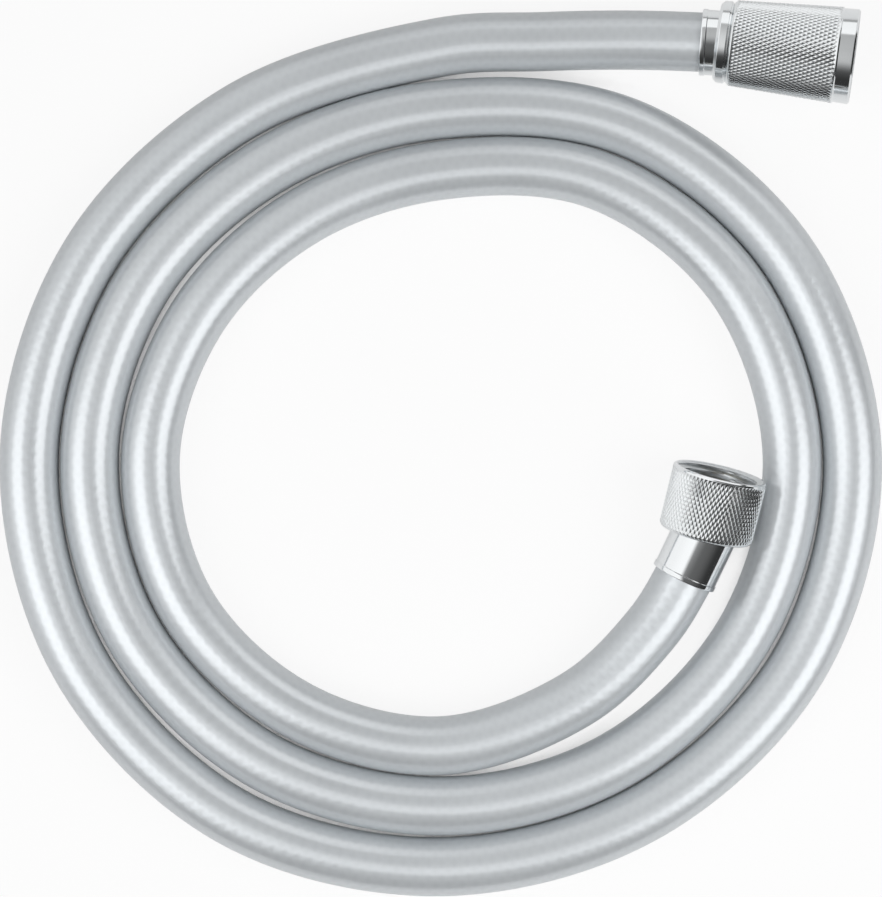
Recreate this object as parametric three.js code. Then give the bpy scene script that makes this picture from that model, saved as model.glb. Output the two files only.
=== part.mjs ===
// A shower hose that lies in a flat coil. The hose is a braided plastic tube. Each end has a crimped ferrule
// round it, a barbed insert in it and a loose nut with a sealing washer: a straight nut for the mixer and
// a conical one for the handset. Millimetres, +Z up, on z = 0 with the middle of its outline at the origin.

import * as THREE from 'three';

const degree = Math.PI / 180;

// Clearances: between pieces that touch on the real object, and between those that turn past each other
const fitGap = 0.3;
const turnGap = 0.3;

// Hose
const hoseRadius = 7.3;
const boreRadius = 4.6;
const hoseSides = 12;
const boreSides = 8;
const stationsPerPoint = 2;

// Coil: the outer turn's widest radius, then at each twelfth of a turn, anticlockwise from the top, how far
// inside it the turn runs, and the slit between that turn and the next, then between that and the last
const coilCentre = [-0.1, -1.6];
const coilRadius = 103.9;
const outerInset = [2.4, 5.0, 3.6, 1.6, 0.2, 0, 1.4, 1.3, 0.5, 1.3, 4.3, 9.9];
const outerSlit = [1.0, 0.6, 0.4, 0.4, 0.8, 1.3, 0.5, 0.3, 0.9, 0.4, 0.3, 0.5];
const innerSlit = [0.5, 0.7, 1.2, 0.6, 0.3, 0.6, 0.4];

// Free stretch before it: x, how far beyond the start of the coil in y, and the height of the hose's middle
// where it is lifted
const handsetStretch = [[46, 1.7, 7.9], [25, 1.4]];

// Free stretch after it, inside the second turn: twelfths of a turn from the start of the coil, the slit
// between the stretch and that turn, and the height of the hose's middle
const mixerStretch = [[18.975, 3.52, 7.6], [19.683, 5.32, 8.9]];

// Ferrules
const ferruleWall = 0.4;
const lipHeight = 0.2;
const lipLength = 1.2;

// Half inch pipe thread of both nuts, left smooth at the tips of its ridges
const threadMinorRadius = 9.3;
const threadDepth = 1.2;
const mouthChamfer = 0.8;

// Inserts: a barbed stem in the hose's bore, and a flange that passes the thread and holds the nut
const barbHeight = 0.4;
const barbPitch = 3;
const stemWall = 0.8;
const stemEndMargin = 1.2;
const flangeThickness = 1.6;
const flangeThreadGap = 0.15;

// Washers
const washerHoleRadius = 6;
const washerThickness = 2;

// Nuts
const nutSegments = 40;
const cornerSteps = 3;

// Each end: where the middle of the nut's back face is, which way the nut and the ferrule point,
// anticlockwise from +X and upwards in degrees, and what the nut and the ferrule measure along their axes.
// A nut's place is told in the way of the free stretch behind it.
const mixerEnd = {
  nutPlace: [20.443, 0.22],
  nutHeading: 77.2,
  nutTilt: 10,
  nutLength: 16,
  backWall: 2.4,
  ferruleHeading: 65.2,
  ferruleTilt: 7,
  ferruleShown: 12,
};
const handsetEnd = {
  nutPlace: [68.7, 1.1],
  nutHeading: -7.8,
  nutTilt: 8,
  nutLength: 34,
  backWall: 17,
  ferruleHeading: -4.5,
  ferruleTilt: 7,
  ferruleShown: 4,
};

// Straight nut
const straightWall = 1.25;
const straightCorner = 1.2;
const straightRim = 0.4;

// Conical nut: its wall at the thread and at the back hole, then what its outline has along it
const coneMouthWall = 1.2;
const coneBackWall = 1.2;
const collarLength = 2.7;
const collarChamfer = 0.35;
const grooveLength = 0.7;
const grooveDepth = 0.45;
const knurlChamfer = 0.4;
const knurlRise = 0.35;
const frontRingLength = 3.9;
const frontRim = 0.35;

// Sizes that follow from those above
const ferruleBore = hoseRadius + fitGap;
const ferruleRadius = ferruleBore + ferruleWall;
const barbRadius = boreRadius * Math.cos(Math.PI / boreSides) - fitGap;
const stemRadius = barbRadius - barbHeight;
const insertBore = stemRadius - stemWall;
const threadMajorRadius = threadMinorRadius + threadDepth;
const flangeRadius = threadMinorRadius - flangeThreadGap;
const washerRadius = threadMinorRadius - fitGap;
const straightRadius = threadMajorRadius + straightWall;
const coneMouthRadius = threadMajorRadius + coneMouthWall;
const restHeight = hoseRadius * Math.cos(Math.PI / hoseSides);

// A unit vector along a heading and a tilt
function direction(heading, tilt) {
  const level = Math.cos(tilt * degree);
  return new THREE.Vector3(
    level * Math.cos(heading * degree),
    level * Math.sin(heading * degree),
    Math.sin(tilt * degree),
  );
}

// Lays out one end. The ferrule's axis meets the nut's in the middle of the nut's back wall and leans on it,
// because the nut is loose. Places along the nut are measured from its back face, and places along the
// ferrule from where the axes meet. The hole, the hollow and the washer's place leave the nut free to turn.
function layOutEnd(end) {
  const nutAxis = direction(end.nutHeading, end.nutTilt);
  const ferruleAxis = direction(end.ferruleHeading, end.ferruleTilt);
  const lean = nutAxis.angleTo(ferruleAxis);
  const pivotDepth = end.backWall / 2;
  const swing = flangeRadius * Math.sin(lean);

  const holeRadius = ferruleRadius / Math.cos(lean) + pivotDepth * Math.tan(lean) + turnGap;
  const flangeBack = (pivotDepth + turnGap + swing) / Math.cos(lean);
  const flangeFront = flangeBack + flangeThickness;
  const hollowRadius = flangeFront * Math.sin(lean) + flangeRadius * Math.cos(lean) + turnGap;
  const washerBack = pivotDepth + flangeFront * Math.cos(lean) + swing + turnGap;
  const hoseEnd = flangeBack - fitGap;
  const ferruleBack = -pivotDepth - end.ferruleShown;
  return {
    ...end,
    nutAxis,
    ferruleAxis,
    pivotDepth,
    holeRadius,
    hollowRadius,
    washerBack,
    flangeBack,
    hoseEnd,
    ferruleBack,
  };
}

// Puts an end at a place, at the height where the lowest corner of its nut's outline is on z = 0
function setDown(end, place, nutOutline) {
  const tilt = end.nutTilt * degree;
  const reach = nutOutline.map(([radius, along]) => radius * Math.cos(tilt) - along * Math.sin(tilt));
  const back = place.clone().setZ(Math.max(...reach));
  const pivot = back.clone().addScaledVector(end.nutAxis, end.pivotDepth);
  return { ...end, back, pivot, nutOutline };
}

// A point on the axis of an end's ferrule
function onFerrule(end, distance) {
  return end.pivot.clone().addScaledVector(end.ferruleAxis, distance);
}

// The radius of the coil's middle at a whole number of twelfths of a turn from its start
function turnRadius(twelfths) {
  const perTurn = outerInset.length;
  const place = twelfths % perTurn;
  let radius = coilRadius - outerInset[place];
  if (twelfths >= perTurn) radius -= 2 * hoseRadius + outerSlit[place];
  if (twelfths >= 2 * perTurn) radius -= 2 * hoseRadius + innerSlit[place];
  return radius;
}

// A point of the coil's middle, or one that lies some way inside it
function coilPoint(twelfths, inwards = 0, height = restHeight) {
  const before = turnRadius(Math.floor(twelfths));
  const after = turnRadius(Math.ceil(twelfths));
  const radius = THREE.MathUtils.lerp(before, after, twelfths % 1) - inwards;
  const angle = (90 + (twelfths * 360) / outerInset.length) * degree;
  const x = coilCentre[0] + radius * Math.cos(angle);
  const y = coilCentre[1] + radius * Math.sin(angle);
  return new THREE.Vector3(x, y, height);
}

// A point of the hose's middle before the coil
function leadPoint([x, beyond, height = restHeight]) {
  return new THREE.Vector3(x, coilPoint(0).y + beyond, height);
}

// The points that the hose's middle passes through, from its handset end to its mixer end
function hosePoints(handset, mixer) {
  const points = [onFerrule(handset, handset.hoseEnd), onFerrule(handset, handset.ferruleBack)];
  points.push(...handsetStretch.map(leadPoint));
  for (let i = 0; i < 2 * outerInset.length + innerSlit.length; i++) points.push(coilPoint(i));
  for (const [twelfths, slit, height] of mixerStretch) {
    points.push(coilPoint(twelfths, 2 * hoseRadius + slit, height));
  }
  points.push(onFerrule(mixer, mixer.ferruleBack), onFerrule(mixer, mixer.hoseEnd));
  return points;
}

// A smooth route whose stations stand at its points and evenly between them, so that neighbouring turns have
// their corners side by side. It never dips below the hose's rest, and its section keeps one side level.
class LevelRoute extends THREE.CatmullRomCurve3 {
  getPoint(t, target) {
    const point = super.getPoint(t, target);
    point.z = Math.max(point.z, restHeight);
    return point;
  }

  getPointAt(u, target) {
    return this.getPoint(u, target);
  }

  getTangentAt(u, target) {
    return this.getTangent(u, target);
  }

  computeFrenetFrames(stations) {
    const frames = { tangents: [], normals: [], binormals: [] };
    for (let i = 0; i <= stations; i++) {
      const tangent = this.getTangent(i / stations);
      const side = new THREE.Vector3(0, 0, 1).cross(tangent).normalize();
      frames.tangents.push(tangent);
      frames.normals.push(side);
      frames.binormals.push(new THREE.Vector3().crossVectors(tangent, side));
    }
    return frames;
  }
}

// A regular polygon with a flat side at its bottom
function polygon(path, radius, sides) {
  for (let i = 0; i < sides; i++) {
    const angle = ((i + 0.5) * 2 * Math.PI) / sides;
    const x = radius * Math.sin(angle);
    const y = -radius * Math.cos(angle);
    if (i === 0) path.moveTo(x, y);
    else path.lineTo(x, y);
  }
  path.closePath();
  return path;
}

function hoseGeometry(points) {
  const section = polygon(new THREE.Shape(), hoseRadius, hoseSides);
  section.holes.push(polygon(new THREE.Path(), boreRadius, boreSides));
  const steps = (points.length - 1) * stationsPerPoint;
  return new THREE.ExtrudeGeometry(section, { extrudePath: new LevelRoute(points), steps });
}

// A turned piece. Its outline is a closed list of radius and place along the axis, and its axis is Y.
function turned(outline, segments) {
  const points = [...outline, outline[0]].map(([radius, along]) => new THREE.Vector2(radius, along));
  return new THREE.LatheGeometry(points, segments);
}

// Ferrule, measured from the end of the hose back to its lip
function ferruleGeometry(length) {
  return turned([
    [ferruleBore, -length],
    [ferruleRadius + lipHeight, -length],
    [ferruleRadius + lipHeight, lipLength - length],
    [ferruleRadius, lipLength + lipHeight - length],
    [ferruleRadius, 0],
    [ferruleBore, 0],
  ], nutSegments);
}

// Insert, measured from the end of the hose: its flange in front and its barbs behind
function insertGeometry(ferruleLength) {
  const stemLength = ferruleLength - stemEndMargin;
  const outline = [[insertBore, -stemLength], [stemRadius, -stemLength]];
  for (let along = -stemLength; along + barbPitch < -barbPitch; along += barbPitch) {
    outline.push([barbRadius, along + barbPitch], [stemRadius, along + barbPitch]);
  }
  outline.push(
    [stemRadius, fitGap],
    [flangeRadius, fitGap],
    [flangeRadius, fitGap + flangeThickness],
    [insertBore, fitGap + flangeThickness],
  );
  return turned(outline, nutSegments / 2);
}

function washerGeometry() {
  return turned([
    [washerHoleRadius, 0],
    [washerRadius, 0],
    [washerRadius, washerThickness],
    [washerHoleRadius, washerThickness],
  ], nutSegments);
}

// The inside of a nut, from its mouth to the hole in its back
function nutInside(end) {
  return [
    [threadMajorRadius, end.nutLength],
    [threadMajorRadius, end.nutLength - mouthChamfer / 2],
    [threadMinorRadius, end.nutLength - mouthChamfer / 2 - threadDepth],
    [threadMinorRadius, end.washerBack],
    [end.hollowRadius, end.washerBack],
    [end.hollowRadius, end.backWall],
    [end.holeRadius, end.backWall],
  ];
}

// Straight nut: a rounded back corner and a small chamfer at the rim
function straightNutOutline(end) {
  const outline = [[end.holeRadius, 0]];
  for (let i = 0; i <= cornerSteps; i++) {
    const angle = (i / cornerSteps) * 90 * degree;
    outline.push([
      straightRadius - straightCorner * (1 - Math.sin(angle)),
      straightCorner * (1 - Math.cos(angle)),
    ]);
  }
  outline.push([straightRadius, end.nutLength - straightRim], [straightRadius - straightRim, end.nutLength]);
  return [...outline, ...nutInside(end)];
}

// Conical nut: a collar, a groove, the knurled band and a ring at the mouth
function conicalNutOutline(end) {
  const backRadius = end.holeRadius + coneBackWall;
  const cone = (along) => backRadius + ((coneMouthRadius - backRadius) * along) / end.nutLength;
  const knurlStart = collarLength + grooveLength;
  const knurlEnd = end.nutLength - frontRingLength;
  return [
    [end.holeRadius, 0],
    [backRadius - collarChamfer, 0],
    [cone(collarChamfer), collarChamfer],
    [cone(collarLength - collarChamfer), collarLength - collarChamfer],
    [cone(collarLength) - grooveDepth, collarLength],
    [cone(knurlStart) - grooveDepth, knurlStart],
    [cone(knurlStart) + knurlRise, knurlStart + knurlChamfer],
    [cone(knurlEnd) + knurlRise, knurlEnd - knurlChamfer],
    [cone(knurlEnd), knurlEnd],
    [cone(end.nutLength - frontRim), end.nutLength - frontRim],
    [coneMouthRadius - frontRim, end.nutLength],
    ...nutInside(end),
  ];
}

function material(color, roughness, metalness) {
  return new THREE.MeshStandardMaterial({ color, roughness, metalness });
}

const satinPlastic = () => material(0xb9bfc3, 0.35, 0.1);
const chrome = () => material(0xd8dcde, 0.12, 1);
const brass = () => material(0xc9a85a, 0.3, 1);
const blackRubber = () => material(0x222324, 0.8, 0);

// A group whose Y axis points along an axis from a point
function axisGroup(origin, axis) {
  const group = new THREE.Group();
  group.position.copy(origin);
  group.quaternion.setFromUnitVectors(new THREE.Vector3(0, 1, 0), axis);
  return group;
}

function addPiece(group, name, geometry, look, along = 0) {
  const piece = new THREE.Mesh(geometry, look);
  piece.name = name;
  piece.position.y = along;
  group.add(piece);
}

// The pieces of one end, named after it
function addEnd(object, name, end) {
  const ferruleLength = end.hoseEnd - end.ferruleBack;
  const hoseEndGroup = axisGroup(onFerrule(end, end.hoseEnd), end.ferruleAxis);
  addPiece(hoseEndGroup, `${name}_ferrule`, ferruleGeometry(ferruleLength), chrome());
  addPiece(hoseEndGroup, `${name}_insert`, insertGeometry(ferruleLength), brass());

  const nutGroup = axisGroup(end.back, end.nutAxis);
  addPiece(nutGroup, `${name}_nut`, turned(end.nutOutline, nutSegments), chrome());
  addPiece(nutGroup, `${name}_washer`, washerGeometry(), blackRubber(), end.washerBack);
  object.add(hoseEndGroup, nutGroup);
}

function makeShowerHose() {
  const object = new THREE.Group();
  const mixerPlan = layOutEnd(mixerEnd);
  const [twelfths, slit] = mixerEnd.nutPlace;
  const mixerPlace = coilPoint(twelfths, hoseRadius + slit + straightRadius);
  const mixer = setDown(mixerPlan, mixerPlace, straightNutOutline(mixerPlan));
  const handsetPlan = layOutEnd(handsetEnd);
  const handset = setDown(handsetPlan, leadPoint(handsetEnd.nutPlace), conicalNutOutline(handsetPlan));

  addPiece(object, 'hose', hoseGeometry(hosePoints(handset, mixer)), satinPlastic());
  addEnd(object, 'mixer', mixer);
  addEnd(object, 'handset', handset);
  return object;
}

export default makeShowerHose();
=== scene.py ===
import math

import bpy
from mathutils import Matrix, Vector


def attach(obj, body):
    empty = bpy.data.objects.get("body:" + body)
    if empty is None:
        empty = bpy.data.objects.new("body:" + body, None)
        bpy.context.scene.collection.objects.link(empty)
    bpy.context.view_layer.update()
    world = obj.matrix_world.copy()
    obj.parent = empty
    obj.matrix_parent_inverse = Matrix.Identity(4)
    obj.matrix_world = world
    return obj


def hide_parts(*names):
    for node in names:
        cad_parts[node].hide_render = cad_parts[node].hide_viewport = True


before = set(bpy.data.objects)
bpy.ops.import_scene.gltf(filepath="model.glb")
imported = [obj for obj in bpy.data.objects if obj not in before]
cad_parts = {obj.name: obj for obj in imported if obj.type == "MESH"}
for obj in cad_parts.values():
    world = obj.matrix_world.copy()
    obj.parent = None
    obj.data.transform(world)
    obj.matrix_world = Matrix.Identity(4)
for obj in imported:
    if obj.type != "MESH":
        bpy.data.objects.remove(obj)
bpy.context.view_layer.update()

MM = 0.001
UP = Vector((0, 0, 1))

# Camera: straight above the coil, with the top of the picture towards +Y.

CAMERA_HEIGHT = 0.70
HOSE_MIDDLE = 0.0073
VIEW_SIDE = 0.22335  # what the picture's long side covers at the height of the hose's middle
SENSOR = 36

camera_data = bpy.data.cameras.new("camera")
camera_data.sensor_width = SENSOR
camera_data.lens = SENSOR * (CAMERA_HEIGHT - HOSE_MIDDLE) / VIEW_SIDE
camera_data.clip_start, camera_data.clip_end = 0.01, 50
camera = bpy.data.objects.new("camera", camera_data)
camera.location = (0.0001, 0, CAMERA_HEIGHT)
bpy.context.scene.collection.objects.link(camera)
bpy.context.scene.camera = camera

# Sizes in millimetres, the same as the solids'.

FIT_GAP = TURN_GAP = 0.3
HOSE_RADIUS, BORE_RADIUS = 7.3, 4.6
COIL_CENTRE = (-0.1, -1.6)
COIL_RADIUS = 103.9
OUTER_INSET = (2.4, 5.0, 3.6, 1.6, 0.2, 0, 1.4, 1.3, 0.5, 1.3, 4.3, 9.9)
OUTER_SLIT = (1.0, 0.6, 0.4, 0.4, 0.8, 1.3, 0.5, 0.3, 0.9, 0.4, 0.3, 0.5)
INNER_SLIT = (0.5, 0.7, 1.2, 0.6, 0.3, 0.6, 0.4)
HANDSET_STRETCH = ((46, 1.7, 7.9), (25, 1.4, HOSE_RADIUS))
MIXER_STRETCH = ((18.975, 3.52, 7.6), (19.683, 5.32, 8.9))

FERRULE_RADIUS, LIP_HEIGHT, LIP_LENGTH = 8.0, 0.2, 1.2
THREAD_MINOR, THREAD_DEPTH, THREAD_PITCH = 9.3, 1.18, 1.814
FLANGE_RADIUS, FLANGE_THICKNESS = 9.15, 1.6
BARB_RADIUS = BORE_RADIUS * math.cos(math.pi / 8) - FIT_GAP
STEM_RADIUS = BARB_RADIUS - 0.4
INSERT_BORE = STEM_RADIUS - 0.8
WASHER_RADIUS, WASHER_HOLE, WASHER_THICKNESS = 9.0, 6.0, 2.0

STRAIGHT_RADIUS = 11.75
CONE_MOUTH = 11.7
COLLAR, GROOVE, GROOVE_DEPTH = 2.7, 0.7, 0.45
KNURL_RISE, FRONT_RING = 0.35, 3.9

KNURL_COLUMNS, KNURL_PITCH, KNURL_DEPTH = 69, 2.0, 0.24

# How finely the meshes are cut: sides round each piece, steps along the hose and across a knurl's point.

HOSE_SIDES, HOSE_STEP, BORE_EVERY = 48, 2.0, 3
KNURL_STEPS = 6
NUT_SIDES = KNURL_COLUMNS * KNURL_STEPS
FERRULE_SIDES, INSERT_SIDES, WASHER_SIDES = 96, 72, 96


def direction(heading, tilt):
    heading, tilt = math.radians(heading), math.radians(tilt)
    level = math.cos(tilt)
    return Vector((level * math.cos(heading), level * math.sin(heading), math.sin(tilt)))


def lay_out_end(name, back, nut, length, back_wall, ferrule, shown):
    """One end's axes and places, as in the solids: the ferrule leans in the nut's back wall."""
    nut_axis, ferrule_axis = direction(*nut), direction(*ferrule)
    lean = nut_axis.angle(ferrule_axis)
    depth = back_wall / 2
    swing = FLANGE_RADIUS * math.sin(lean)
    flange_back = (depth + TURN_GAP + swing) / math.cos(lean)
    flange_front = flange_back + FLANGE_THICKNESS
    return {
        "name": name,
        "back": Vector(back),
        "nut_axis": nut_axis,
        "ferrule_axis": ferrule_axis,
        "pivot": Vector(back) + nut_axis * depth,
        "length": length,
        "back_wall": back_wall,
        "hole": FERRULE_RADIUS / math.cos(lean) + depth * math.tan(lean) + TURN_GAP,
        "hollow": flange_front * math.sin(lean) + FLANGE_RADIUS * math.cos(lean) + TURN_GAP,
        "washer": depth + flange_front * math.cos(lean) + swing + TURN_GAP,
        "hose_end": flange_back - FIT_GAP,
        "ferrule_back": -depth - shown,
    }


mixer = lay_out_end("mixer", (65.505, -21.295, 11.363), (77.2, 10), 16, 2.4, (65.2, 7), 12)
handset = lay_out_end("handset", (68.7, 101.0, 9.909), (-7.8, 8), 34, 17, (-4.5, 7), 4)


def on_ferrule(end, along):
    return end["pivot"] + end["ferrule_axis"] * along


# The hose's route.

def turn_radius(twelfths):
    place = twelfths % 12
    radius = COIL_RADIUS - OUTER_INSET[place]
    if twelfths >= 12:
        radius -= 2 * HOSE_RADIUS + OUTER_SLIT[place]
    if twelfths >= 24:
        radius -= 2 * HOSE_RADIUS + INNER_SLIT[place]
    return radius


def coil_point(twelfths, inwards=0, height=HOSE_RADIUS):
    before, after = turn_radius(math.floor(twelfths)), turn_radius(math.ceil(twelfths))
    radius = before + (after - before) * (twelfths % 1) - inwards
    angle = math.radians(90 + 30 * twelfths)
    x, y = COIL_CENTRE
    return Vector((x + radius * math.cos(angle), y + radius * math.sin(angle), height))


def route_points():
    points = [on_ferrule(handset, handset["hose_end"]), on_ferrule(handset, handset["ferrule_back"])]
    start = coil_point(0).y
    points += [Vector((x, start + beyond, z)) for x, beyond, z in HANDSET_STRETCH]
    points += [coil_point(i) for i in range(31)]
    points += [coil_point(place, 2 * HOSE_RADIUS + slit, z) for place, slit, z in MIXER_STRETCH]
    points += [on_ferrule(mixer, mixer["ferrule_back"]), on_ferrule(mixer, mixer["hose_end"])]
    return points


def smooth_route(points, step):
    """The same centripetal curve as the solid's, at even steps between its points."""
    ends = [points[0] * 2 - points[1], *points, points[-1] * 2 - points[-2]]
    line = []
    for i in range(len(points) - 1):
        p0, p1, p2, p3 = ends[i:i + 4]
        d0, d1, d2 = ((b - a).length ** 0.5 for a, b in ((p0, p1), (p1, p2), (p2, p3)))
        t1 = ((p1 - p0) / d0 - (p2 - p0) / (d0 + d1) + (p2 - p1) / d1) * d1
        t2 = ((p2 - p1) / d1 - (p3 - p1) / (d1 + d2) + (p3 - p2) / d2) * d1
        count = max(2, round((p2 - p1).length / step))
        for k in range(count):
            t = k / count
            p = p1 + t1 * t + (3 * (p2 - p1) - 2 * t1 - t2) * t ** 2 + (2 * (p1 - p2) + t1 + t2) * t ** 3
            p.z = max(p.z, HOSE_RADIUS)
            line.append(p)
    return [*line, points[-1]]


# Mesh makers.

def add_mesh(name, vertices, faces, body, node):
    mesh = bpy.data.meshes.new(name)
    mesh.from_pydata([v * MM for v in vertices], [], faces)
    mesh.polygons.foreach_set("use_smooth", [True] * len(mesh.polygons))
    piece = bpy.data.objects.new(name, mesh)
    bpy.context.scene.collection.objects.link(piece)
    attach(piece, body)
    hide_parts(node)
    return piece


def rounded(corners, steps=4):
    """A closed outline of radius, place and fillet, with each corner rounded by its fillet."""
    outline = []
    count = len(corners)
    for i, (radius, along, fillet) in enumerate(corners):
        here = Vector((radius, along))
        to_last = Vector(corners[i - 1][:2]) - here
        to_next = Vector(corners[(i + 1) % count][:2]) - here
        if fillet == 0:
            outline.append(here)
            continue
        half = to_last.angle(to_next) / 2
        cut = min(fillet / math.tan(half), to_last.length * 0.49, to_next.length * 0.49)
        a, b = here + to_last.normalized() * cut, here + to_next.normalized() * cut
        for k in range(steps + 1):
            t = k / steps
            outline.append(a * (1 - t) ** 2 + here * 2 * t * (1 - t) + b * t ** 2)
    return [(p.x, p.y) for p in outline]


def axis_frame(axis):
    side = UP.cross(axis).normalized()
    return side, axis.cross(side)


def turned(name, outline, sides, origin, axis, body, node, crease=28):
    side, up = axis_frame(axis)
    vertices, faces = [], []
    for radius, along in outline:
        for k in range(sides):
            angle = 2 * math.pi * k / sides
            outwards = side * math.cos(angle) + up * math.sin(angle)
            vertices.append(origin + axis * along + outwards * radius)
    rows = len(outline)
    for row in range(rows):
        nxt = (row + 1) % rows
        for k in range(sides):
            k2 = (k + 1) % sides
            faces.append((row * sides + k, row * sides + k2, nxt * sides + k2, nxt * sides + k))
    piece = add_mesh(name, vertices, faces, body, node)
    piece.data.set_sharp_from_angle(angle=math.radians(crease))
    return piece


# Hose: a round tube with its bore, whose section keeps one side level.

def make_hose():
    line = smooth_route(route_points(), HOSE_STEP)
    sides, end = HOSE_SIDES, len(line) - 1
    tangents = [(line[min(i + 1, end)] - line[max(i - 1, 0)]).normalized() for i in range(len(line))]
    vertices, faces, place = [], [], []
    along = 0.0
    for i, (point, tangent) in enumerate(zip(line, tangents)):
        if i:
            along += (point - line[i - 1]).length
        side = UP.cross(tangent).normalized()
        up = tangent.cross(side)
        for k in range(sides):
            angle = 2 * math.pi * k / sides
            vertices.append(point + (side * math.sin(angle) - up * math.cos(angle)) * HOSE_RADIUS)
            place.append((k / sides, along))
    inner = [*range(0, end, BORE_EVERY), end]
    first_inner = len(vertices)
    for i in inner:
        side = UP.cross(tangents[i]).normalized()
        up = tangents[i].cross(side)
        for k in range(sides):
            angle = 2 * math.pi * k / sides
            vertices.append(line[i] + (side * math.sin(angle) - up * math.cos(angle)) * BORE_RADIUS)
            place.append((k / sides, 0))
    for i in range(end):
        for k in range(sides):
            k2 = (k + 1) % sides
            faces.append((i * sides + k, i * sides + k2, (i + 1) * sides + k2, (i + 1) * sides + k))
    for i in range(len(inner) - 1):
        a, b = first_inner + i * sides, first_inner + (i + 1) * sides
        for k in range(sides):
            k2 = (k + 1) % sides
            faces.append((a + k, b + k, b + k2, a + k2))
    last, last_inner = end * sides, first_inner + (len(inner) - 1) * sides
    for k in range(sides):
        k2 = (k + 1) % sides
        faces.append((k, first_inner + k, first_inner + k2, k2))
        faces.append((last + k, last + k2, last_inner + k2, last_inner + k))
    piece = add_mesh("visual_hose", vertices, faces, "hose", "hose")
    uv = piece.data.uv_layers.new(name="UVMap")
    for polygon in piece.data.polygons:
        wraps = {place[v][0] for v in polygon.vertices}
        for loop in polygon.loop_indices:
            u, v = place[piece.data.loops[loop].vertex_index]
            if u == 0 and max(wraps) > 0.9:
                u = 1.0
            uv.data[loop].uv = (u, v * MM)
    piece.data.set_sharp_from_angle(angle=math.radians(50))
    return piece, line


hose, hose_line = make_hose()


# Ferrules, inserts and washers.

BARB_SPACING, STEM_MARGIN = 3, 1.2

def make_ferrule(end):
    length = end["hose_end"] - end["ferrule_back"]
    lip = FERRULE_RADIUS + LIP_HEIGHT
    outline = rounded([
        (HOSE_RADIUS + 0.04, -length, 0.12),
        (lip, -length, 0.3),
        (lip, LIP_LENGTH - length, 0.12),
        (FERRULE_RADIUS, LIP_LENGTH + LIP_HEIGHT - length, 0.12),
        (FERRULE_RADIUS, 0, 0.1),
        (HOSE_RADIUS + FIT_GAP, 0, 0.1),
        (HOSE_RADIUS + FIT_GAP, 1.2 - length, 0),
        (HOSE_RADIUS + 0.04, 0.9 - length, 0),
    ])
    name = f"{end['name']}_ferrule"
    origin = on_ferrule(end, end["hose_end"])
    axis = end["ferrule_axis"]
    return turned(f"visual_{name}", outline, FERRULE_SIDES, origin, axis, "hose", name)


def make_insert(end):
    stem = end["hose_end"] - end["ferrule_back"] - STEM_MARGIN
    corners = [(INSERT_BORE, -stem, 0.1), (STEM_RADIUS, -stem, 0.1)]
    along = -stem
    while along + BARB_SPACING < -BARB_SPACING:
        along += BARB_SPACING
        corners += [(BARB_RADIUS, along, 0.06), (STEM_RADIUS, along, 0)]
    corners += [
        (STEM_RADIUS, FIT_GAP, 0),
        (FLANGE_RADIUS, FIT_GAP, 0.2),
        (FLANGE_RADIUS, FIT_GAP + FLANGE_THICKNESS, 0.25),
        (INSERT_BORE, FIT_GAP + FLANGE_THICKNESS, 0.4),
    ]
    name = f"{end['name']}_insert"
    origin, outline = on_ferrule(end, end["hose_end"]), rounded(corners)
    axis = end["ferrule_axis"]
    return turned(f"visual_{name}", outline, INSERT_SIDES, origin, axis, "hose", name)


def make_washer(end):
    outline = rounded([
        (WASHER_HOLE, 0, 0.25),
        (WASHER_RADIUS, 0, 0.25),
        (WASHER_RADIUS, WASHER_THICKNESS, 0.3),
        (WASHER_HOLE, WASHER_THICKNESS, 0.3),
    ])
    name = f"{end['name']}_washer"
    origin, body = end["back"] + end["nut_axis"] * end["washer"], f"{end['name']}_nut"
    return turned(f"visual_{name}", outline, WASHER_SIDES, origin, end["nut_axis"], body, name)


# Nuts: rows of radius, place along the axis, knurl depth and thread depth, all round one axis.

WORN_TIP = 0.85  # the share of a knurl point's height that its worn tip leaves
RIDGE, FLANK = 0.14, 0.72  # a thread's rounded ridge and its flank, as shares of half its pitch
CUT_DULLNESS, KNURL_DULLNESS = 1.0, 0.35  # against the polished faces' 0


def groove_distance(x):
    return abs(x - round(x))


def knurl_height(turn, along):
    """Crossed V grooves leave four-sided points, whose tips are worn flat."""
    p, q = turn * KNURL_COLUMNS + along / KNURL_PITCH, turn * KNURL_COLUMNS - along / KNURL_PITCH
    return min(2 * min(groove_distance(p), groove_distance(q)), WORN_TIP) / WORN_TIP


def thread_height(turn, along):
    """0 at the tips of the ridges and 1 at the bottom of the grooves, both rounded."""
    wave = 2 * groove_distance(along / THREAD_PITCH - turn)
    return min(max((wave - RIDGE) / FLANK, 0), 1)


def band(start, end, step, radius, knurl=0.0, thread=0.0, fade_in=0.0, fade_out=0.0):
    """Rows at even steps, whose depth of knurl or thread fades at the ends."""
    count = max(1, round(abs(end - start) / step))
    rows = []
    for i in range(count + 1):
        t = i / count
        along = start + (end - start) * t
        fade = 1.0
        if fade_in:
            fade = min(fade, abs(along - start) / fade_in)
        if fade_out:
            fade = min(fade, abs(end - along) / fade_out)
        rows.append((radius(along) if callable(radius) else radius, along, knurl * fade, thread * fade))
    return rows


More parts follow.
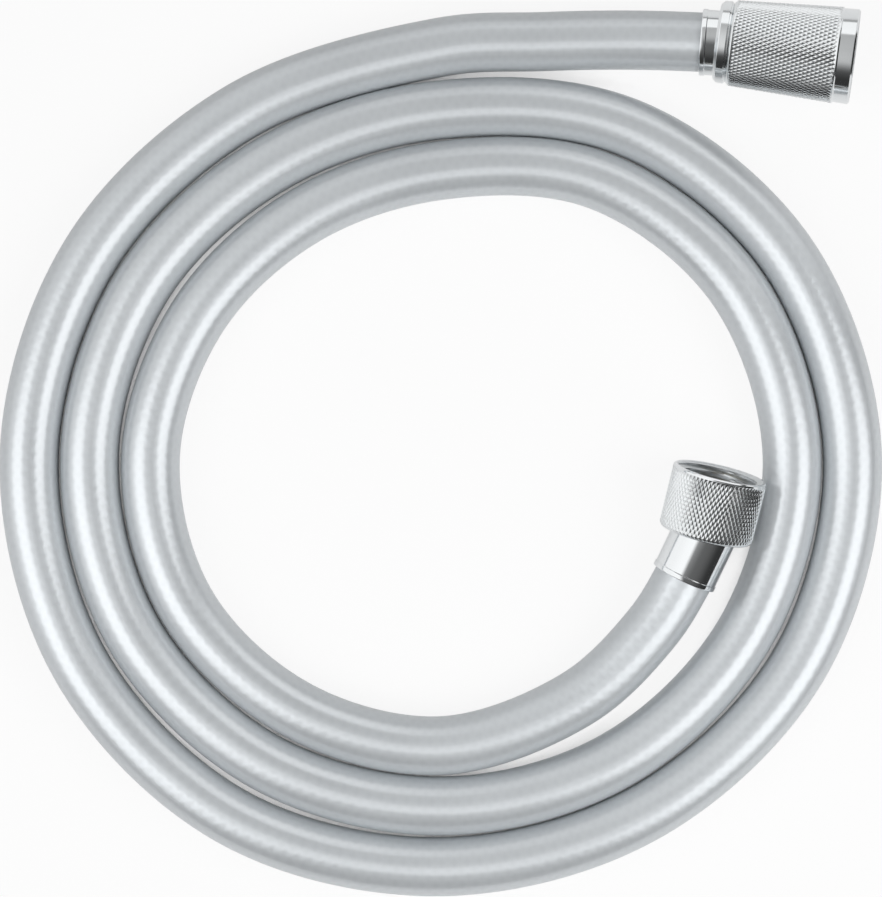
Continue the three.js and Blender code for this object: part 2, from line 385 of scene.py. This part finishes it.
def nut_inside(end):
    """From mouth to back: a chamfer, the thread, the hollow round the flange and the hole."""
    length, washer, wall = end["length"], end["washer"], end["back_wall"]
    major = THREAD_MINOR + THREAD_DEPTH
    hole, hollow = end["hole"], end["hollow"]
    step = THREAD_PITCH / 7
    chamfer = ((0.35, 0), (0.2, 0.08), (0.05, 0.25))
    rows = [(major + wider, length - deeper, 0, 0) for wider, deeper in chamfer]
    rows += band(length - 0.5, washer + 0.2, step, THREAD_MINOR, thread=THREAD_DEPTH, fade_out=1.2)
    rows += [(THREAD_MINOR + 0.05, washer + 0.05, 0, 0), (THREAD_MINOR + 0.2, washer, 0, 0)]
    rows += [(hollow - 0.1, washer, 0, 0), (hollow, washer - 0.1, 0, 0)]
    rows += [(hollow, wall + 0.3, 0, 0), (hollow - 0.3, wall, 0, 0), (hole + 0.15, wall, 0, 0)]
    rows += [(hole, wall - 0.15, 0, 0), (hole, 0.3, 0, 0)]
    return rows


def make_nut(end, outside):
    inside = nut_inside(end)
    rows = outside + inside
    side, up = axis_frame(end["nut_axis"])
    vertices, faces, flat = [], [], []
    ring = [(k / NUT_SIDES, math.cos(2 * math.pi * k / NUT_SIDES), math.sin(2 * math.pi * k / NUT_SIDES))
            for k in range(NUT_SIDES)]
    radial = [side * c + up * s for _, c, s in ring]
    radii = []
    for radius, along, knurl, thread in rows:
        middle = end["back"] + end["nut_axis"] * along
        row = []
        for k, (turn, _, _) in enumerate(ring):
            r = radius
            if knurl:
                r -= knurl * (1 - knurl_height(turn, along))
            if thread:
                r += thread * thread_height(turn, along)
            row.append(r)
            vertices.append(middle + radial[k] * r)
        radii.append(row)
    count = len(rows)
    dull = [CUT_DULLNESS if row in inside else KNURL_DULLNESS * bool(row[2]) for row in rows for _ in ring]
    for i in range(count):
        j = (i + 1) % count
        knurled = bool(rows[i][2] or rows[j][2])
        middle_along = (rows[i][1] + rows[j][1]) / 2
        middle_radius = (rows[i][0] + rows[j][0]) / 2
        middle_knurl = (rows[i][2] + rows[j][2]) / 2
        for k in range(NUT_SIDES):
            k2 = (k + 1) % NUT_SIDES
            a, b, c, d = i * NUT_SIDES + k, i * NUT_SIDES + k2, j * NUT_SIDES + k2, j * NUT_SIDES + k
            if not knurled:
                faces.append((a, b, c, d))
                flat.append(False)
                continue
            # cut each square along the diagonal that lies nearer to the knurl's true height
            true = middle_radius - middle_knurl * (1 - knurl_height((k + 0.5) / NUT_SIDES, middle_along))
            one, other = (radii[i][k] + radii[j][k2]) / 2, (radii[i][k2] + radii[j][k]) / 2
            if abs(one - true) <= abs(other - true):
                faces += [(a, b, c), (a, c, d)]
            else:
                faces += [(a, b, d), (b, c, d)]
            flat += [True, True]
    name = f"{end['name']}_nut"
    piece = add_mesh(f"visual_{name}", vertices, faces, name, name)
    piece.data.attributes.new("dull", "FLOAT", "POINT").data.foreach_set("value", dull)
    piece.data.polygons.foreach_set("use_smooth", [not f for f in flat])
    piece.data.set_sharp_from_angle(angle=math.radians(40))
    return piece


def corner_rows(corners, steps=5):
    """Rows along an outline of radius, place and fillet, rounded at each corner and held flat beside it."""
    rows = []
    for i, (radius, along, fillet) in enumerate(corners):
        here = Vector((radius, along))
        if fillet == 0 or i in (0, len(corners) - 1):
            rows.append((radius, along, 0, 0))
            continue
        to_last = Vector(corners[i - 1][:2]) - here
        to_next = Vector(corners[i + 1][:2]) - here
        half = to_last.angle(to_next) / 2
        cut = min(fillet / math.tan(half), to_last.length * 0.46, to_next.length * 0.46)
        a, b = here + to_last.normalized() * cut, here + to_next.normalized() * cut
        hold = 0.12 * cut
        points = [a + to_last.normalized() * hold]
        for k in range(steps + 1):
            t = k / steps
            points.append(a * (1 - t) ** 2 + here * 2 * t * (1 - t) + b * t ** 2)
        points.append(b + to_next.normalized() * hold)
        rows += [(q.x, q.y, 0, 0) for q in points]
    return rows


def straight_rows(end):
    length, hole = end["length"], end["hole"]
    step = KNURL_PITCH / KNURL_STEPS
    corner = 1.2
    rows = [(hole + 0.15, 0.02, 0, 0), (hole + 0.3, 0, 0, 0)]
    for i in range(7):
        angle = math.radians(15 * i)
        knurl = KNURL_DEPTH * max(0, (i - 2) / 4)
        inwards, along = corner * (1 - math.sin(angle)), corner * (1 - math.cos(angle))
        rows.append((STRAIGHT_RADIUS - inwards, along, knurl, 0))
    rows += band(corner + step, length - 0.7, step, STRAIGHT_RADIUS, knurl=KNURL_DEPTH, fade_out=0.3)
    rim = STRAIGHT_RADIUS - 0.05
    rows += corner_rows([
        (rim, length - 0.62, 0),
        (rim, length - 0.3, 0.1),
        (rim - 0.3, length, 0.1),
        (rim - 0.6, length, 0),
    ])
    return rows


def conical_rows(end):
    length, hole = end["length"], end["hole"]
    back = hole + 1.2
    step = KNURL_PITCH / KNURL_STEPS

    def cone(along):
        return back + (CONE_MOUTH - back) * along / length

    start, stop = COLLAR + GROOVE / 2, length - FRONT_RING
    floor = cone(COLLAR) - GROOVE_DEPTH
    rows = [(hole + 0.15, 0.02, 0, 0)]
    rows += corner_rows([
        (hole + 0.3, 0, 0),
        (back - 0.75, 0, 0.1),
        (cone(0.75), 0.75, 0.25),
        (cone(COLLAR - 0.15), COLLAR - 0.15, 0.12),
        (cone(COLLAR) - 0.15, COLLAR, 0.08),
        (floor, COLLAR + 0.04, 0.04),
        (floor, start, 0.08),
        (cone(start) + KNURL_RISE - 0.1, start + 0.7, 0.3),
        (cone(start + 0.9) + KNURL_RISE, start + 0.9, 0),
    ])
    rows += band(start + 0.95, stop - 0.45, step, lambda a: cone(a) + KNURL_RISE, knurl=KNURL_DEPTH,
                 fade_in=0.3, fade_out=0.3)
    rows += corner_rows([
        (cone(stop - 0.4) + KNURL_RISE, stop - 0.4, 0),
        (cone(stop) + KNURL_RISE, stop - 0.3, 0.12),
        (cone(stop), stop, 0.1),
        (cone(length - 0.45), length - 0.45, 0.12),
        (CONE_MOUTH - 0.45, length, 0.12),
        (CONE_MOUTH - 0.8, length, 0),
    ])
    return rows


fittings = []
for end in (mixer, handset):
    fittings += [make_ferrule(end), make_insert(end), make_washer(end)]
mixer_nut = make_nut(mixer, straight_rows(mixer))
handset_nut = make_nut(handset, conical_rows(handset))
fittings += [mixer_nut, handset_nut]

# Materials.


def new_material(name, *pieces):
    material = bpy.data.materials.new(name)
    material.use_nodes = True
    for piece in pieces:
        piece.data.materials.clear()
        piece.data.materials.append(material)
    nodes, links = material.node_tree.nodes, material.node_tree.links
    return nodes, links, nodes["Principled BSDF"]


def named(part):
    return [o for o in fittings if o.name.endswith(part)]


def noise(nodes, links, coordinates, scale, detail=2.0):
    node = nodes.new("ShaderNodeTexNoise")
    node.inputs["Scale"].default_value = scale
    node.inputs["Detail"].default_value = detail
    links.new(coordinates, node.inputs["Vector"])
    return node.outputs["Fac"]


def ramp(nodes, links, source, low, high):
    node = nodes.new("ShaderNodeMapRange")
    node.inputs["To Min"].default_value = low
    node.inputs["To Max"].default_value = high
    links.new(source, node.inputs["Value"])
    return node.outputs["Result"]


def bump(nodes, links, height, distance, strength=1.0):
    node = nodes.new("ShaderNodeBump")
    node.inputs["Distance"].default_value = distance
    node.inputs["Strength"].default_value = strength
    links.new(height, node.inputs["Height"])
    return node.outputs["Normal"]


def math_node(nodes, links, operation, *values):
    node = nodes.new("ShaderNodeMath")
    node.operation = operation
    for socket, value in zip(node.inputs, values):
        if isinstance(value, (int, float)):
            socket.default_value = value
        else:
            links.new(value, socket)
    return node.outputs["Value"]


BRAID_THREADS, BRAID_SPACING = 12, 0.0032


def braid(nodes, links):
    """Two sets of crossed threads, 12 each way round the hose and 3.2 mm apart along it."""
    place = nodes.new("ShaderNodeUVMap")
    place.uv_map = "UVMap"
    split = nodes.new("ShaderNodeSeparateXYZ")
    links.new(place.outputs["UV"], split.inputs["Vector"])
    turn = math_node(nodes, links, "MULTIPLY", split.outputs["X"], BRAID_THREADS * 2 * math.pi)
    along = math_node(nodes, links, "MULTIPLY", split.outputs["Y"], 2 * math.pi / BRAID_SPACING)
    one = math_node(nodes, links, "COSINE", math_node(nodes, links, "ADD", turn, along))
    other = math_node(nodes, links, "COSINE", math_node(nodes, links, "SUBTRACT", turn, along))
    return math_node(nodes, links, "MAXIMUM", one, other)


def hose_material():
    nodes, links, shader = new_material("hose_plastic", hose)
    shader.inputs["Metallic"].default_value = 0.35
    threads = braid(nodes, links)
    spot = nodes.new("ShaderNodeTexCoord").outputs["Object"]
    cloud = noise(nodes, links, spot, 45, 3)
    tone = nodes.new("ShaderNodeMix")
    tone.data_type = "RGBA"
    tone.inputs[6].default_value = (0.585, 0.613, 0.634, 1)
    tone.inputs[7].default_value = (0.64, 0.67, 0.691, 1)
    mix = math_node(nodes, links, "MULTIPLY_ADD", threads, 0.2, cloud)
    links.new(mix, tone.inputs[0])
    links.new(tone.outputs[2], shader.inputs["Base Color"])
    links.new(ramp(nodes, links, cloud, 0.28, 0.36), shader.inputs["Roughness"])
    links.new(bump(nodes, links, threads, 0.000011), shader.inputs["Normal"])


def chrome_material():
    pieces = named("_nut") + named("_ferrule")
    nodes, links, shader = new_material("chrome", *pieces)
    shader.inputs["Base Color"].default_value = (0.80, 0.82, 0.83, 1)
    shader.inputs["Metallic"].default_value = 1
    spot = nodes.new("ShaderNodeTexCoord").outputs["Object"]
    cut = nodes.new("ShaderNodeAttribute")
    cut.attribute_name = "dull"
    polish = ramp(nodes, links, noise(nodes, links, spot, 400), 0.06, 0.14)
    dull = math_node(nodes, links, "MULTIPLY_ADD", cut.outputs["Fac"], 0.28, polish)
    links.new(dull, shader.inputs["Roughness"])


def brass_material():
    nodes, links, shader = new_material("brass", *named("_insert"))
    shader.inputs["Base Color"].default_value = (0.62, 0.46, 0.2, 1)
    shader.inputs["Metallic"].default_value = 1
    spot = nodes.new("ShaderNodeTexCoord").outputs["Object"]
    links.new(ramp(nodes, links, noise(nodes, links, spot, 900), 0.22, 0.4), shader.inputs["Roughness"])


def rubber_material():
    nodes, links, shader = new_material("rubber", *named("_washer"))
    shader.inputs["Base Color"].default_value = (0.02, 0.02, 0.021, 1)
    spot = nodes.new("ShaderNodeTexCoord").outputs["Object"]
    links.new(ramp(nodes, links, noise(nodes, links, spot, 2500), 0.55, 0.8), shader.inputs["Roughness"])


hose_material()
chrome_material()
brass_material()
rubber_material()

# Floor and light.

FLOOR_REACH = 4

floor_mesh = bpy.data.meshes.new("floor")
corners = [(x * FLOOR_REACH, y * FLOOR_REACH, 0) for x, y in ((-1, -1), (1, -1), (1, 1), (-1, 1))]
floor_mesh.from_pydata(corners, [], [(0, 1, 2, 3)])
floor = bpy.data.objects.new("floor", floor_mesh)
bpy.context.scene.collection.objects.link(floor)


FLOOR_WHITE = 0.88  # how much of the open floor's tone is plain white to the camera
MIRRORED_SHARE = 0.35  # and of that, how much in reflections
OPEN_ENOUGH = 0.125  # the share of open sky from which the floor counts as open


def floor_material():
    """Plain and pale. To the camera it is mostly white, but the white fades with ambient occlusion, which
    paints shade into the narrow slits between the turns.
    """
    nodes, links, shader = new_material("floor", floor)
    shader.inputs["Base Color"].default_value = (0.9, 0.9, 0.9, 1)
    shader.inputs["Roughness"].default_value = 0.8
    white = nodes.new("ShaderNodeEmission")
    white.inputs["Color"].default_value = (1, 1, 1, 1)
    white.inputs["Strength"].default_value = 1
    rays = nodes.new("ShaderNodeLightPath")
    mirrored = math_node(nodes, links, "MULTIPLY", rays.outputs["Is Glossy Ray"], MIRRORED_SHARE)
    seen = math_node(nodes, links, "MAXIMUM", rays.outputs["Is Camera Ray"], mirrored)
    # ambient occlusion fades the plain white where the floor is hemmed in: painted shade in the slits
    # between the turns and close beside the hose and fittings
    open_sky = nodes.new("ShaderNodeAmbientOcclusion")
    open_sky.samples = 8
    open_sky.inputs["Distance"].default_value = 0.02
    open_share = nodes.new("ShaderNodeMapRange")
    open_share.inputs["From Max"].default_value = OPEN_ENOUGH
    open_share.inputs["To Max"].default_value = FLOOR_WHITE
    links.new(open_sky.outputs["AO"], open_share.inputs["Value"])
    share = math_node(nodes, links, "MULTIPLY", seen, open_share.outputs["Result"])
    mix = nodes.new("ShaderNodeMixShader")
    links.new(share, mix.inputs[0])
    links.new(shader.outputs["BSDF"], mix.inputs[1])
    links.new(white.outputs["Emission"], mix.inputs[2])
    links.new(mix.outputs["Shader"], nodes["Material Output"].inputs["Surface"])


floor_material()


def gathered(name, pieces):
    group = bpy.data.collections.new(name)
    for piece in pieces:
        group.objects.link(piece)
    return group


def softbox(name, azimuth, elevation, size, power, lit, blocked_by=(), distance=0.9):
    """A soft rectangle that faces the coil's middle, anticlockwise from +X and upwards in degrees."""
    place = direction(azimuth, elevation) * distance
    data = bpy.data.lights.new(name, "AREA")
    data.shape = "RECTANGLE"
    data.size, data.size_y = size
    data.energy = power
    light = bpy.data.objects.new(name, data)
    light.location = place
    light.rotation_euler = (-place).to_track_quat("-Z", "Y").to_euler()
    bpy.context.scene.collection.objects.link(light)
    light.light_linking.receiver_collection = gathered(f"{name}_lit", lit)
    if blocked_by:
        light.light_linking.blocker_collection = gathered(f"{name}_blockers", blocked_by)


# The chrome mirrors the room alone, whose tones are set apart from what the hose needs of the lamps.
matte = [hose, floor, *named("_insert"), *named("_washer")]
softbox("left", 203, 46, (0.9, 0.7), 3.5, matte, [hose, floor, handset_nut])
softbox("right", 338, 46, (0.9, 0.7), 5.2, matte)
softbox("far", 60, 38, (0.6, 0.35), 0.55, matte)
softbox("near", 255, 72, (0.6, 0.4), 0.8, matte)


def room():
    """The studio round the object: a pale wall on the left, a bright strip beyond it, a grey ceiling.

    The rest is dim. Reflections see it at full strength, and what it adds to matte surfaces is less.
    """
    world = bpy.data.worlds.new("studio")
    bpy.context.scene.world = world
    world.use_nodes = True
    nodes, links = world.node_tree.nodes, world.node_tree.links
    way = nodes.new("ShaderNodeTexCoord").outputs["Generated"]

    def zone(towards, start, full):
        """From 0 to 1 where the way's part in that direction goes from start to full."""
        along = nodes.new("ShaderNodeVectorMath")
        along.operation = "DOT_PRODUCT"
        along.inputs[1].default_value = towards
        links.new(way, along.inputs[0])
        step = nodes.new("ShaderNodeMapRange")
        step.interpolation_type = "SMOOTHSTEP"
        step.inputs["From Min"].default_value = start
        step.inputs["From Max"].default_value = full
        links.new(along.outputs["Value"], step.inputs["Value"])
        return step.outputs["Result"]

    def both(one, other):
        return math_node(nodes, links, "MULTIPLY", one, other)

    wall = both(zone((-1, 0.1, 0), 0.12, 0.42), zone((0, 1, 0), -0.75, -0.3))
    ceiling = both(zone((0, 1, 0), -0.3, 0.3), zone((-1, 0, 0), -0.35, 0.0))
    low_down = both(zone((0, 0, 1), 0.08, 0.14), zone((0, 0, -1), -0.74, -0.64))
    strip = both(zone((0.1, 1, 0), 0.35, 0.6), low_down)
    glossy = nodes.new("ShaderNodeLightPath").outputs["Is Glossy Ray"]
    bright = both(strip, both(glossy, 1.05))
    for part, matte_share, mirrored in ((wall, 0.05, 1.05), (ceiling, 0.05, 0.4)):
        tone = both(part, ramp(nodes, links, glossy, matte_share, mirrored))
        bright = math_node(nodes, links, "MAXIMUM", bright, tone)
    rest = math_node(nodes, links, "MULTIPLY_ADD", zone((0, 0, 1), 0.3, 1.0), 0.1, 0.04)
    strength = math_node(nodes, links, "ADD", bright, rest)
    links.new(strength, nodes["Background"].inputs["Strength"])
    nodes["Background"].inputs["Color"].default_value = (1, 1, 1, 1)


room()
bpy.context.scene.view_settings.view_transform = "Standard"
